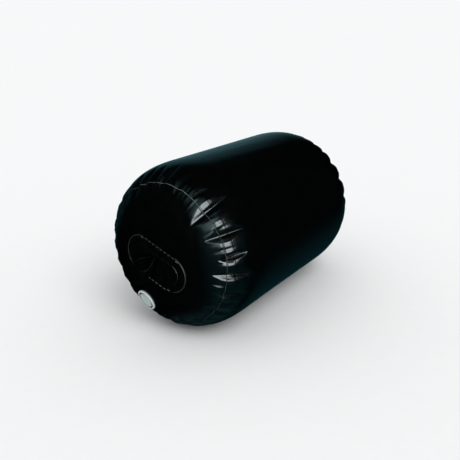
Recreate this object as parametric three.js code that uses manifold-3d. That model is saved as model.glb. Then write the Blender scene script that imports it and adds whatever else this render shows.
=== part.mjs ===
// An air-filled boat fender of coated fabric: a cylinder with two gathered, rounded ends, lying on its side.
// Millimetres, +Z up. Its axis runs along X, the end with the valve is at -X, and z = 0 is the flat spot
// that it lies on. Angles around the axis are in degrees, from +Y towards +Z.
import * as THREE from "three";
import { mergeVertices } from "three/addons/utils/BufferGeometryUtils.js";
import Module from "manifold-3d";

const wasm = await Module();
wasm.setup();

// The bag, without its loops.
const DIAMETER = 457;
const LENGTH = 737;
const END_BULGE = 175;
const END_SQUARENESS = 3.13;
const FLAT_WIDTH = 100;

// The welded seam round each end, and the tape over it. The seam lies inside the barrel's radius by SEAM_INSET.
const SEAM_INSET = 39;
const TAPE_WIDTH = 25;
const TAPE_THICKNESS = 1.2;

// The gathers: lens-shaped dents across the seam. They run along the skin, and reach further towards the barrel.
const GATHER_WIDTH = 38;
const GATHER_DEPTH = 8;
const GATHER_TO_POLE = 44;
const GATHER_TO_BARREL = 74;
const GATHER_SHARPNESS = 1.25;

// Angle of each gather, and how deep it is as a share of the deepest.
const NEAR_GATHERS = [
  [4, 0.7], [18, 0.6], [32, 0.7], [45, 0.5], [61, 0.6], [71, 0.4], [80, 0.6], [91, 0.5],
  [103, 0.6], [117, 0.4], [131, 1], [153, 1], [170, 0.9], [185, 1], [202, 0.8], [223, 0.7],
  [240, 0.7], [257, 0.6], [272, 0.5], [289, 0.2], [305, 0.2], [320, 0.6], [335, 0.7], [349, 0.6],
];
const FAR_GATHERS = [
  [6, 0.7], [22, 0.6], [40, 0.8], [58, 0.6], [78, 0.7], [97, 0.6], [107, 0.5], [117, 0.6],
  [126, 0.5], [138, 0.9], [154, 0.9], [169, 0.8], [178, 0.4], [193, 0.8], [210, 0.7], [227, 0.8],
  [243, 0.6], [259, 0.6], [274, 0.5], [290, 0.7], [306, 0.6], [321, 0.8], [336, 0.7], [351, 0.6],
];

// The reinforcing patch in the middle of each end, and the smaller layer on it. Both have round ends.
const PATCH_LENGTH = 200;
const PATCH_WIDTH = 104;
const PATCH_THICKNESS = 1.8;
const COVER_LENGTH = 154;
const COVER_WIDTH = 58;
const COVER_THICKNESS = 1.4;
const PATCH_TILT = 20;
const PATCH_Y = 4.5;
const PATCH_RISE = -11.5;

// The webbing loop: one strap, folded to an eye, that stands out of a slit in the cover.
const STRAP_THICKNESS = 3;
const STRAP_WIDTH_AT_ROOT = 54;
const STRAP_WIDTH_AT_BEND = 42;
const LOOP_REACH = 60;
const LOOP_HALF_SPREAD = 20;
const LOOP_SIDE_SHIFT = -8;
const LOOP_UP_SHIFT = -6;

// The valve, in a pocket of the bag, below the near patch. Its place is counted from the patch's centre.
const VALVE_DROP = 140;
const VALVE_SIDE_SHIFT = -9;
const FLANGE_RADIUS = 31;
const FLANGE_SINK = 4.5;
const FLANGE_THICKNESS = 2.4;
const RIM_WIDTH = 5;
const RIM_HEIGHT = 4.2;
const RIM_CHAMFER = 1;
const CUP_RADIUS = 22.6;
const CUP_WALL = 2.8;
const CUP_DEPTH = 16;
const CUP_FLOOR = 2.2;
const POCKET_SPARE = 1;

// The valve's screwed cap and its seal.
const CAP_RADIUS = 21.6;
const CAP_THICKNESS = 2.8;
const CAP_CHAMFER = 0.6;
const CAP_SKIRT_DEPTH = 6;
const CAP_SKIRT_WALL = 2.4;
const SEAL_THICKNESS = 1.2;
const SEAL_WIDTH = 1.3;

// The one-way stem under the cap, its spring, and the rubber disc that closes the air holes.
const STEM_RADIUS = 2.2;
const STEM_FOOT_RADIUS = 5;
const STEM_FOOT_THICKNESS = 1.5;
const BUTTON_RADIUS = 6.5;
const BUTTON_THICKNESS = 1.8;
const BUTTON_RISE = 6;
const AIR_HOLE_RADIUS = 2.8;
const AIR_HOLE_CIRCLE = 10.5;
const AIR_HOLE_COUNT = 6;
const DIAPHRAGM_RADIUS = 15;
const DIAPHRAGM_THICKNESS = 1.4;
const SPRING_RADIUS = 4.4;
const SPRING_WIRE = 0.9;
const SPRING_TURNS = 4;

// Clearance between touching pieces.
const CLEARANCE = 0.3;

// How finely the surfaces are cut into faces.
const COLUMNS = 144;
const POLE_COLUMNS = 24;
const OUTLINE_STEPS = 600;
const TURNED_STEPS = 28;
const ARC_STEPS = 10;
const STRAP_STEPS = 30;
const WIRE_SIDES = 5;
const STEPS_PER_TURN = 10;
const STRAP_TANGENT_TURN = 0.05;

// Values that follow.
const radius = DIAMETER / 2;
const barrelHalf = LENGTH / 2 - END_BULGE;
const axisHeight = Math.sqrt(radius ** 2 - (FLAT_WIDTH / 2) ** 2);
const seamRadius = radius - SEAM_INSET;
const gatherHalfAngle = THREE.MathUtils.radToDeg(GATHER_WIDTH / 2 / seamRadius);
const gatherMiddle = (GATHER_TO_BARREL - GATHER_TO_POLE) / 2;
const gatherHalf = (GATHER_TO_BARREL + GATHER_TO_POLE) / 2;
const patchTop = CLEARANCE + PATCH_THICKNESS;
const tilt = THREE.MathUtils.degToRad(PATCH_TILT);

// Levels of the valve along its own axis. Zero is the skin where the axis leaves the bag.
const flangeLow = CLEARANCE - FLANGE_SINK;
const ledge = flangeLow + FLANGE_THICKNESS;
const rimTop = ledge + RIM_HEIGHT;
const boreRadius = CUP_RADIUS - CUP_WALL;
const cupLow = flangeLow - CUP_DEPTH;
const floorTop = cupLow + CUP_FLOOR;
const sealLow = ledge + CLEARANCE;
const capLow = sealLow + SEAL_THICKNESS + CLEARANCE;
const capTop = capLow + CAP_THICKNESS;
const buttonLow = floorTop + BUTTON_RISE;
const guideRadius = STEM_RADIUS + CLEARANCE;
const diaphragmTop = cupLow - CLEARANCE;
const diaphragmLow = diaphragmTop - DIAPHRAGM_THICKNESS;
const footTop = diaphragmLow - CLEARANCE;
const footLow = footTop - STEM_FOOT_THICKNESS;

// A finish for one kind of piece.
function finish(color, roughness, metalness = 0) {
  return new THREE.MeshStandardMaterial({ color, roughness, metalness });
}

const coatedFabric = finish(0x0b0d0e, 0.25);
const webbing = finish(0x101112, 0.85);
const paleMoulding = finish(0xb9c8c6, 0.45);
const softRubber = finish(0x1c1d1e, 0.8);
const springSteel = finish(0x9a9da0, 0.3, 1);

// A closed geometry as a solid that can be cut and joined.
function solidOf(geometry) {
  const bare = geometry.clone();
  bare.deleteAttribute("normal");
  bare.deleteAttribute("uv");
  const merged = mergeVertices(bare, 1e-4);
  return new wasm.Manifold(
    new wasm.Mesh({
      numProp: 3,
      vertProperties: merged.getAttribute("position").array,
      triVerts: new Uint32Array(merged.index.array),
    }),
  );
}

// A solid as a geometry.
function geometryOf(solid) {
  const mesh = solid.getMesh();
  const geometry = new THREE.BufferGeometry();
  geometry.setAttribute("position", new THREE.BufferAttribute(mesh.vertProperties, 3));
  geometry.setIndex(new THREE.BufferAttribute(mesh.triVerts, 1));
  geometry.computeVertexNormals();
  return geometry;
}

// The outline of an end from its pole to the barrel, a superellipse, with the distance along the skin.
function endOutline() {
  const outline = [];
  let along = 0;
  for (let i = 0; i <= OUTLINE_STEPS; i += 1) {
    const turn = (Math.PI / 2) * (1 - i / OUTLINE_STEPS);
    const reach = Math.max(Math.sin(turn), 0) ** (2 / END_SQUARENESS);
    const spread = Math.max(Math.cos(turn), 0) ** (2 / END_SQUARENESS);
    const point = new THREE.Vector2(barrelHalf + END_BULGE * reach, radius * spread);
    const normal = new THREE.Vector2(
      reach ** (END_SQUARENESS - 1) / END_BULGE,
      spread ** (END_SQUARENESS - 1) / radius,
    ).normalize();
    if (i > 0) along += point.distanceTo(outline[i - 1].point);
    outline.push({ point, normal, along });
  }
  return outline;
}

const outline = endOutline();
const seamAlong = outline.find(({ point }) => point.y >= seamRadius).along;
const skinHalf = outline[outline.length - 1].along;

// The point and the normal of the smooth end at a distance from the seam, positive towards the barrel.
function outlineAt(fromSeam) {
  const along = THREE.MathUtils.clamp(seamAlong + fromSeam, 0, skinHalf);
  const next = Math.max(outline.findIndex((entry) => entry.along >= along), 1);
  const [a, b] = [outline[next - 1], outline[next]];
  const share = (along - a.along) / (b.along - a.along);
  return {
    point: a.point.clone().lerp(b.point, share),
    normal: a.normal.clone().lerp(b.normal, share).normalize(),
  };
}

// The depth of the gathers: each is a crease whose sides rise evenly to its edge, and whose outline is a lens.
function gatherDepth(gathers, fromSeam, angle) {
  const lens = 1 - ((fromSeam - gatherMiddle) / gatherHalf) ** 2;
  if (lens <= 0) return 0;
  let depth = 0;
  for (const [centre, share] of gathers) {
    const off = Math.abs(THREE.MathUtils.euclideanModulo(angle - centre + 180, 360) - 180);
    const rise = Math.max(1 - off / (gatherHalfAngle * lens), 0);
    depth = Math.max(depth, GATHER_DEPTH * share * lens * rise ** GATHER_SHARPNESS);
  }
  return depth;
}

// One ring of points of the skin, lifted off it by some distance. side is -1 for the near end, 1 for the far end.
function skinRing(side, fromSeam, count, lift = 0) {
  const { point, normal } = outlineAt(fromSeam);
  const gathers = side < 0 ? NEAR_GATHERS : FAR_GATHERS;
  const ring = [];
  for (let k = 0; k < count; k += 1) {
    const angle = (360 * k) / count;
    const off = lift - gatherDepth(gathers, fromSeam, angle);
    const r = point.y + normal.y * off;
    const turn = THREE.MathUtils.degToRad(angle);
    const z = Math.max(r * Math.sin(turn), -axisHeight - lift);
    ring.push(new THREE.Vector3(side * (point.x + normal.x * off), r * Math.cos(turn), axisHeight + z));
  }
  return ring;
}

// A surface through rings of points, one column of faces after the other. A ring with fewer points than
// COLUMNS shares each of them between several columns.
function throughRings(rings) {
  const position = [];
  const index = [];
  const starts = rings.map((ring) => {
    const start = position.length / 3;
    ring.forEach((p) => position.push(p.x, p.y, p.z));
    return start;
  });
  const vertex = (row, column) => {
    const count = rings[row].length;
    return starts[row] + (Math.round((column * count) / COLUMNS) % count);
  };
  for (let row = 0; row + 1 < rings.length; row += 1) {
    for (let column = 0; column < COLUMNS; column += 1) {
      const a = vertex(row, column);
      const b = vertex(row, column + 1);
      const c = vertex(row + 1, column + 1);
      const d = vertex(row + 1, column);
      if (a !== b && b !== c && a !== c) index.push(a, b, c);
      if (a !== c && c !== d && a !== d) index.push(a, c, d);
    }
  }
  const geometry = new THREE.BufferGeometry();
  geometry.setAttribute("position", new THREE.Float32BufferAttribute(position, 3));
  geometry.setIndex(index);
  return geometry;
}

// Where the skin has its rings, as distances from the seam, with the number of points in each.
const poleRows = [0.33, 0.58, 0.8].map((share) => [-seamAlong + share * (seamAlong - GATHER_TO_POLE), POLE_COLUMNS]);
const gatherRows = [
  -GATHER_TO_POLE,
  -GATHER_TO_POLE * 0.66,
  -GATHER_TO_POLE * 0.33,
  0,
  TAPE_WIDTH,
  TAPE_WIDTH + (GATHER_TO_BARREL - TAPE_WIDTH) * 0.35,
  TAPE_WIDTH + (GATHER_TO_BARREL - TAPE_WIDTH) * 0.7,
  GATHER_TO_BARREL,
  (GATHER_TO_BARREL + skinHalf - seamAlong) / 2,
  skinHalf - seamAlong,
].map((fromSeam) => [fromSeam, COLUMNS]);

// The whole skin, lifted by some distance, as a closed surface.
function skin(lift) {
  const rows = [[-seamAlong, 1], ...poleRows, ...gatherRows];
  const near = rows.map(([fromSeam, count]) => skinRing(-1, fromSeam, count, lift));
  const far = rows.map(([fromSeam, count]) => skinRing(1, fromSeam, count, lift));
  return throughRings([...near, ...far.reverse()]);
}

// The tape over the seam of one end.
function seamTape(side) {
  const low = CLEARANCE;
  const high = CLEARANCE + TAPE_THICKNESS;
  const rings = [
    skinRing(side, 0, COLUMNS, low),
    skinRing(side, 0, COLUMNS, high),
    skinRing(side, TAPE_WIDTH, COLUMNS, high),
    skinRing(side, TAPE_WIDTH, COLUMNS, low),
  ];
  if (side > 0) rings.reverse();
  return throughRings([...rings, rings[0]]);
}

// The frame of an end: its first axis along the patch, its third axis out of the bag, its origin on the fender's
// axis at the patch's centre.
function patchFrame(side) {
  const along = new THREE.Vector3(0, -Math.cos(tilt), -Math.sin(tilt));
  const out = new THREE.Vector3(side, 0, 0);
  const across = new THREE.Vector3().crossVectors(out, along);
  const frame = new THREE.Matrix4().makeBasis(along, across, out);
  return frame.setPosition(0, PATCH_Y, axisHeight + PATCH_RISE);
}

// A long oblong with round ends.
function stadium(length, width) {
  const r = width / 2;
  const half = length / 2 - r;
  const shape = new THREE.Shape();
  shape.absarc(half, 0, r, -Math.PI / 2, Math.PI / 2, false);
  shape.absarc(-half, 0, r, Math.PI / 2, (3 * Math.PI) / 2, false);
  return shape;
}

// A layer of the end's skin inside an outline, between two lifts.
function layerOf(side, shape, low, high) {
  const block = new THREE.ExtrudeGeometry(shape, {
    depth: LENGTH,
    bevelEnabled: false,
    curveSegments: ARC_STEPS,
  }).applyMatrix4(patchFrame(side));
  return solidOf(block).intersect(solidOf(skin(high))).subtract(solidOf(skin(low)));
}

// The reinforcing patch of one end.
function endPatch(side) {
  const shape = stadium(PATCH_LENGTH, PATCH_WIDTH);
  return geometryOf(layerOf(side, shape, CLEARANCE, patchTop));
}

// Where the loop stands on the patch: along it, and across it towards the valve.
function loopFoot(side) {
  return new THREE.Vector2(LOOP_SIDE_SHIFT, side * -LOOP_UP_SHIFT);
}

// The smaller layer on the patch, with the slit for the strap.
function patchCover(side) {
  const shape = stadium(COVER_LENGTH, COVER_WIDTH);
  const foot = loopFoot(side);
  const halfAlong = STRAP_THICKNESS + 2 * CLEARANCE;
  const halfAcross = STRAP_WIDTH_AT_ROOT / 2 + CLEARANCE;
  const block = new THREE.BoxGeometry(2 * halfAlong, 2 * halfAcross, LENGTH);
  block.translate(foot.x, foot.y, LENGTH / 2);
  block.applyMatrix4(patchFrame(side));
  const low = patchTop + CLEARANCE;
  const layer = layerOf(side, shape, low, low + COVER_THICKNESS);
  return geometryOf(layer.subtract(solidOf(block)));
}

// The middle of the strap at a turn from 0 to 2 pi: a teardrop that starts and ends at the slit. The last factor
// makes its widest place equal to LOOP_HALF_SPREAD.
function strapMiddle(turn) {
  const reach = LOOP_REACH - STRAP_THICKNESS / 2 - patchTop - CLEARANCE;
  const share = (1 - Math.cos(turn)) / 2;
  const legs = (STRAP_THICKNESS + CLEARANCE) / 2;
  const spread = (LOOP_HALF_SPREAD - STRAP_THICKNESS / 2) * (8 / (3 * Math.sqrt(3)));
  const aside = legs * Math.cos(turn / 2) + spread * Math.sin(turn) * share;
  const width = THREE.MathUtils.lerp(STRAP_WIDTH_AT_ROOT, STRAP_WIDTH_AT_BEND, share);
  return { place: new THREE.Vector2(aside, reach * share), width };
}

// The strap of one end, a flat section carried round its teardrop.
function webbingLoop(side) {
  const position = [];
  const index = [];
  const corners = [[-1, -1], [1, -1], [1, 1], [-1, 1]];
  for (let i = 0; i <= STRAP_STEPS; i += 1) {
    const turn = (2 * Math.PI * i) / STRAP_STEPS;
    const { place, width } = strapMiddle(turn);
    const before = strapMiddle(Math.max(turn - STRAP_TANGENT_TURN, 0)).place;
    const after = strapMiddle(Math.min(turn + STRAP_TANGENT_TURN, 2 * Math.PI)).place;
    const along = after.sub(before).normalize();
    for (const [face, edge] of corners) {
      const aside = place.x - along.y * face * (STRAP_THICKNESS / 2);
      const out = place.y + along.x * face * (STRAP_THICKNESS / 2);
      position.push(aside, (edge * width) / 2, out);
    }
  }
  for (let i = 0; i < STRAP_STEPS; i += 1) {
    for (let k = 0; k < 4; k += 1) {
      const a = 4 * i + k;
      const b = 4 * i + ((k + 1) % 4);
      index.push(a, b + 4, b, a, a + 4, b + 4);
    }
  }
  const last = 4 * STRAP_STEPS;
  index.push(0, 1, 2, 0, 2, 3, last, last + 2, last + 1, last, last + 3, last + 2);
  const geometry = new THREE.BufferGeometry();
  geometry.setAttribute("position", new THREE.Float32BufferAttribute(position, 3));
  geometry.setIndex(index);
  const foot = loopFoot(side);
  geometry.translate(foot.x, foot.y, LENGTH / 2 + patchTop + CLEARANCE);
  return geometry.applyMatrix4(patchFrame(side));
}

// The valve's own frame: its third axis is the skin's normal where the valve sits.
function valveFrame() {
  const place = new THREE.Vector3(VALVE_SIDE_SHIFT, -VALVE_DROP, 0).applyMatrix4(patchFrame(-1));
  const angle = Math.atan2(place.z - axisHeight, place.y);
  const fromAxis = Math.hypot(place.z - axisHeight, place.y);
  const { point, normal } = outline.find((entry) => entry.point.y >= fromAxis);
  const radial = new THREE.Vector3(0, Math.cos(angle), Math.sin(angle));
  const around = new THREE.Vector3(0, -Math.sin(angle), Math.cos(angle));
  const out = radial.clone().multiplyScalar(normal.y).setX(-normal.x);
  const frame = new THREE.Matrix4().makeBasis(around, new THREE.Vector3().crossVectors(out, around), out);
  return frame.setPosition(-point.x, radial.y * point.y, axisHeight + radial.z * point.y);
}

// A turned piece of the valve from its section, given as radius and level. The section goes round once, or
// starts and ends on the axis.
function turned(section, steps = TURNED_STEPS) {
  const points = section.map(([r, level]) => new THREE.Vector2(r, level));
  if (THREE.ShapeUtils.area(points) < 0) points.reverse();
  if (points[0].x > 0) points.push(points[0].clone());
  return new THREE.LatheGeometry(points, steps).rotateX(Math.PI / 2);
}

// The pocket that the valve sits in, as the solid that it takes out of the bag.
function valvePocket() {
  const low = footLow - POCKET_SPARE;
  const high = rimTop + RIM_HEIGHT;
  return turned([
    [0, low],
    [CUP_RADIUS + CLEARANCE, low],
    [CUP_RADIUS + CLEARANCE, -FLANGE_SINK],
    [FLANGE_RADIUS + CLEARANCE, -FLANGE_SINK],
    [FLANGE_RADIUS + CLEARANCE, high],
    [0, high],
  ]).applyMatrix4(valveFrame());
}

// The bag, one sealed and filled body with the pocket for the valve.
function airBag() {
  return geometryOf(solidOf(skin(0)).subtract(solidOf(valvePocket())));
}

// The valve's housing: a flange with a raised rim, and a cup whose floor has the air holes.
function valveHousing() {
  const rimInner = FLANGE_RADIUS - RIM_WIDTH;
  let housing = solidOf(
    turned([
      [FLANGE_RADIUS, flangeLow],
      [FLANGE_RADIUS, rimTop - RIM_CHAMFER],
      [FLANGE_RADIUS - RIM_CHAMFER, rimTop],
      [rimInner, rimTop],
      [rimInner, ledge],
      [boreRadius, ledge],
      [boreRadius, floorTop],
      [guideRadius, floorTop],
      [guideRadius, cupLow],
      [CUP_RADIUS, cupLow],
      [CUP_RADIUS, flangeLow],
    ]),
  );
  for (let i = 0; i < AIR_HOLE_COUNT; i += 1) {
    const turn = (2 * Math.PI * i) / AIR_HOLE_COUNT;
    const hole = new THREE.CylinderGeometry(AIR_HOLE_RADIUS, AIR_HOLE_RADIUS, 3 * CUP_FLOOR, ARC_STEPS);
    hole.rotateX(Math.PI / 2);
    hole.translate(AIR_HOLE_CIRCLE * Math.cos(turn), AIR_HOLE_CIRCLE * Math.sin(turn), floorTop);
    housing = housing.subtract(solidOf(hole));
  }
  return geometryOf(housing);
}

// The cap: a disc with a skirt that screws into the cup.
function valveCap() {
  const skirt = boreRadius - CLEARANCE;
  return turned([
    [0, capLow],
    [skirt - CAP_SKIRT_WALL, capLow],
    [skirt - CAP_SKIRT_WALL, capLow - CAP_SKIRT_DEPTH],
    [skirt, capLow - CAP_SKIRT_DEPTH],
    [skirt, capLow],
    [CAP_RADIUS, capLow],
    [CAP_RADIUS, capTop - CAP_CHAMFER],
    [CAP_RADIUS - CAP_CHAMFER, capTop],
    [0, capTop],
  ]);
}

// The flat ring between the cap and the housing's ledge.
function valveCapSeal() {
  return turned([
    [boreRadius, sealLow],
    [boreRadius + SEAL_WIDTH, sealLow],
    [boreRadius + SEAL_WIDTH, sealLow + SEAL_THICKNESS],
    [boreRadius, sealLow + SEAL_THICKNESS],
  ]);
}

// The stem, from its foot below the diaphragm to its button.
function valveStem() {
  return turned([
    [0, footLow],
    [STEM_FOOT_RADIUS, footLow],
    [STEM_FOOT_RADIUS, footTop],
    [STEM_RADIUS, footTop],
    [STEM_RADIUS, buttonLow],
    [BUTTON_RADIUS, buttonLow],
    [BUTTON_RADIUS, buttonLow + BUTTON_THICKNESS],
    [0, buttonLow + BUTTON_THICKNESS],
  ]);
}

// The rubber disc on the stem, below the cup's floor.
function valveDiaphragm() {
  return turned([
    [guideRadius, diaphragmLow],
    [DIAPHRAGM_RADIUS, diaphragmLow],
    [DIAPHRAGM_RADIUS, diaphragmTop],
    [guideRadius, diaphragmTop],
  ]);
}

// The middle line of the spring between the cup's floor and the button.
class SpringPath extends THREE.Curve {
  getPoint(share) {
    const low = floorTop + CLEARANCE + SPRING_WIRE / 2;
    const high = buttonLow - CLEARANCE - SPRING_WIRE / 2;
    const turn = 2 * Math.PI * SPRING_TURNS * share;
    const level = THREE.MathUtils.lerp(low, high, share);
    return new THREE.Vector3(SPRING_RADIUS * Math.cos(turn), SPRING_RADIUS * Math.sin(turn), level);
  }
}

// The spring that holds the stem up.
function valveSpring() {
  const section = new THREE.Shape().absarc(0, 0, SPRING_WIRE / 2, 0, 2 * Math.PI, false);
  return new THREE.ExtrudeGeometry(section, {
    steps: SPRING_TURNS * STEPS_PER_TURN,
    curveSegments: WIRE_SIDES,
    extrudePath: new SpringPath(),
    bevelEnabled: false,
  });
}

// Adds one named piece to a group.
function addPiece(group, name, geometry, material) {
  const piece = new THREE.Mesh(geometry, material);
  piece.name = name;
  group.add(piece);
}

const fender = new THREE.Group();
addPiece(fender, "air_bag", airBag(), coatedFabric);
for (const [side, end] of [[-1, "near"], [1, "far"]]) {
  addPiece(fender, `seam_tape_${end}`, seamTape(side), coatedFabric);
  addPiece(fender, `end_patch_${end}`, endPatch(side), coatedFabric);
  addPiece(fender, `patch_cover_${end}`, patchCover(side), coatedFabric);
  addPiece(fender, `webbing_loop_${end}`, webbingLoop(side), webbing);
}

const valve = new THREE.Group();
addPiece(valve, "valve_housing", valveHousing(), paleMoulding);
addPiece(valve, "valve_cap", valveCap(), paleMoulding);
addPiece(valve, "valve_cap_seal", valveCapSeal(), softRubber);
addPiece(valve, "valve_stem", valveStem(), paleMoulding);
addPiece(valve, "valve_spring", valveSpring(), springSteel);
addPiece(valve, "valve_diaphragm", valveDiaphragm(), softRubber);
valve.applyMatrix4(valveFrame());
fender.add(valve);

export default fender;
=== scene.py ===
"""An air-filled boat fender of black coated fabric, dressed around its solid parts.

Everything is in metres. The fender's axis runs along X, the end with the valve is at -X, and z = 0 is the
floor. Angles around the axis are in degrees, from +Y towards +Z. A side of -1 is the near end, 1 the far end.
"""

import math

import bpy
import numpy as np
from bpy.props import FloatProperty, FloatVectorProperty, IntProperty, PointerProperty
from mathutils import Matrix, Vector


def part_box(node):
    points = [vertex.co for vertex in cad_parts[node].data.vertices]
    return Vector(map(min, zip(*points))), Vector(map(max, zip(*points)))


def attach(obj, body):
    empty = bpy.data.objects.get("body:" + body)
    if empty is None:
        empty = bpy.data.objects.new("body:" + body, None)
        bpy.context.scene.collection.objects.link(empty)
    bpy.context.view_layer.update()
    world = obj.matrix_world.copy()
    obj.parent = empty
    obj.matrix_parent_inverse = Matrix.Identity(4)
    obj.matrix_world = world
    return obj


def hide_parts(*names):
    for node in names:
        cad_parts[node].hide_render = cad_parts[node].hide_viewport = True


bl_info = {
    "name": "Boat Fender",
    "version": (1, 0, 0),
    "blender": (4, 5, 0),
    "location": "View3D > Sidebar > Fender",
    "description": "Dresses an air-filled boat fender: gathered bag, seam tapes, patches, loops and valve",
    "category": "Add Mesh",
}

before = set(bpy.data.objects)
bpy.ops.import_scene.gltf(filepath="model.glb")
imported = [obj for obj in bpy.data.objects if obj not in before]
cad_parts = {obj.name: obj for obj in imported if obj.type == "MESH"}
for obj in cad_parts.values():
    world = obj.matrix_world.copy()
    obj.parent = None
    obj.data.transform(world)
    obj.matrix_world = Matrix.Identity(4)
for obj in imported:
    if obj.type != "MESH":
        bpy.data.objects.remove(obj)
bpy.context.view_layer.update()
BODY = "root"
SIDES = {"near": -1, "far": 1}
MM = 0.001

# Sizes that the solid parts give.
BAG_LOW, BAG_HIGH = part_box("air_bag")
RADIUS = (BAG_HIGH.y - BAG_LOW.y) / 2
HALF_LENGTH = (BAG_HIGH.x - BAG_LOW.x) / 2
AXIS_HEIGHT = BAG_HIGH.z - RADIUS

# The gathers of the near end: angle, depth share, width share, and how far each reaches along the skin from
# the seam, towards the pole and towards the barrel, in millimetres.
NEAR_GATHERS = (
    (4, 0.35, 0.9, 36, 66), (18, 0.3, 0.8, 32, 60), (32, 0.4, 0.9, 36, 70), (44, 0.5, 0.7, 30, 62),
    (60, 0.6, 0.8, 34, 72), (71, 0.5, 0.6, 22, 70), (80, 0.5, 0.65, 24, 70), (89, 0.6, 0.7, 24, 76),
    (103, 0.45, 0.7, 20, 64), (119, 0.4, 0.75, 0, 50), (132, 1.0, 1.15, 48, 74), (152.4, 1.0, 0.98, 36, 68),
    (169, 1.0, 0.72, 16, 62), (182.8, 0.95, 0.7, 36, 70), (191, 0.3, 0.4, 36, 10), (198.8, 0.5, 0.75, 26, 66),
    (206.5, 0.35, 0.45, 14, 58), (218.5, 0.6, 0.8, 30, 62), (228, 0.4, 0.5, 20, 50), (240, 0.7, 0.9, 34, 66),
    (257, 0.6, 0.8, 30, 60), (272, 0.5, 0.8, 28, 56), (289, 0.2, 0.7, 8, 50), (305, 0.2, 0.7, 8, 50),
    (320, 0.3, 0.8, 30, 66), (335, 0.3, 0.9, 34, 70), (349, 0.3, 0.8, 30, 62),
)

# The gathers of the far end, in the same way.
FAR_GATHERS = (
    (6, 0.7, 0.9, 36, 66), (22, 0.6, 0.8, 30, 62), (40, 0.8, 0.95, 38, 70), (58, 0.6, 0.8, 30, 60),
    (78, 0.7, 0.9, 34, 70), (97, 0.7, 0.8, 34, 74), (107, 0.6, 0.6, 26, 70), (117, 0.7, 0.7, 32, 74),
    (126, 0.6, 0.6, 26, 70), (138, 0.95, 0.9, 38, 76), (154, 0.95, 0.9, 38, 76), (169, 0.85, 0.8, 36, 72),
    (178, 0.5, 0.5, 20, 60), (193, 0.8, 0.9, 36, 70), (210, 0.7, 0.9, 34, 64), (227, 0.8, 0.95, 36, 70),
    (243, 0.6, 0.8, 30, 60), (259, 0.6, 0.8, 28, 56), (274, 0.5, 0.8, 28, 56), (290, 0.7, 0.9, 34, 60),
    (306, 0.6, 0.8, 30, 62), (321, 0.8, 0.95, 36, 70), (336, 0.7, 0.9, 34, 66), (351, 0.6, 0.8, 30, 60),
)
GATHERS = {-1: NEAR_GATHERS, 1: FAR_GATHERS}


# Settings

def length_setting(name, description, default):
    """A setting in metres."""
    return FloatProperty(name=name, description=description, default=default, unit="LENGTH")


def number_setting(name, description, default):
    """A setting that is a plain number."""
    return FloatProperty(name=name, description=description, default=default)


def colour_setting(name, description, default):
    """A setting that is a colour."""
    return FloatVectorProperty(name=name, description=description, default=default, subtype="COLOR", size=3)


class FenderSkin(bpy.types.PropertyGroup):
    """The form of the bag and of the tapes over its seams."""

    end_bulge: length_setting("End bulge", "How far a rounded end reaches past the barrel", 0.175)
    end_squareness: number_setting("End squareness", "Power of the end's outline; 2 is an ellipse", 3.13)
    seam_inset: length_setting("Seam inset", "How far the seam lies inside the barrel's radius", 0.039)
    gather_width: length_setting("Gather width", "Width of a full gather at its middle", 0.038)
    gather_depth: length_setting("Gather depth", "Depth of a full gather at its middle", 0.0095)
    gather_pillow: number_setting(
        "Gather pillow", "Power of a gather's depth across it; 1 gives flat flanks", 1.8)
    pole_pillow: number_setting("Pole pillow", "The same power on the side of the pole", 1.05)
    crease_rounding: number_setting(
        "Crease rounding", "Rounding of the crease, as a share of the half width", 0.12)
    gather_lean: number_setting("Gather lean", "Turn of a gather's ends, in degrees round the fender", 1.0)
    pillow: length_setting("Pillow", "How far the skin stands out beside a gather", 0.0009)
    ripple: length_setting("Ripple", "Height of the fine wrinkles beside the seam", 0.00045)
    tape_width: length_setting("Tape width", "Width of the tape over a seam", 0.025)
    tape_thickness: length_setting("Tape thickness", "Height of the tape over the skin", 0.0015)
    tape_wave: length_setting("Tape wave", "How far the tape's cut edge wanders", 0.0011)
    tape_pull: length_setting(
        "Tape pull", "How far the deepest gather pulls the near tape's edge towards the pole", 0.0065)
    columns: IntProperty(name="Columns", description="Points around the bag", default=700)


class FenderEnds(bpy.types.PropertyGroup):
    """The patches, covers and loops in the middle of the ends."""

    patch_length: length_setting("Patch length", "Length of the reinforcing patch", 0.200)
    patch_width: length_setting("Patch width", "Width of the reinforcing patch", 0.104)
    patch_top: length_setting("Patch top", "Height of the patch over the skin", 0.0021)
    cover_length: length_setting("Cover length", "Length of the top layer", 0.154)
    cover_width: length_setting("Cover width", "Width of the top layer", 0.058)
    cover_top: length_setting("Cover top", "Height of the top layer over the skin", 0.0038)
    tilt: FloatProperty(
        name="Tilt", description="Turn of the patch around the fender's axis",
        default=math.radians(20), subtype="ANGLE",
    )
    bead_pitch: length_setting("Bead pitch", "Distance between two weld beads", 0.0132)
    strap_thickness: length_setting("Strap thickness", "Thickness of the webbing", 0.003)
    root_width: length_setting("Root width", "Width of the strap where it leaves the patch", 0.050)
    bend_width: length_setting("Bend width", "Width of the strap at its bend", 0.042)
    loop_reach: length_setting("Loop reach", "How far the loop stands out of the end", 0.060)
    loop_spread: length_setting("Loop spread", "Half the loop's width at its widest", 0.020)
    leg_gap: length_setting(
        "Leg gap", "Distance between the middles of the loop's legs at the patch", 0.009)
    loop_droop: length_setting("Loop droop", "How far the loop's bend hangs down", 0.012)
    loop_lean: length_setting("Loop lean", "How far the loop's bend leans aside", 0.006)


class FenderValve(bpy.types.PropertyGroup):
    """The valve below the near patch."""

    drop: length_setting("Drop", "Distance from the patch's centre, across the patch", 0.140)
    aside: length_setting("Aside", "Distance from the patch's centre, along the patch", -0.009)
    flange_radius: length_setting("Flange radius", "Radius of the housing's flange", 0.031)
    cap_radius: length_setting("Cap radius", "Radius of the screwed cap", 0.0216)


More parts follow.
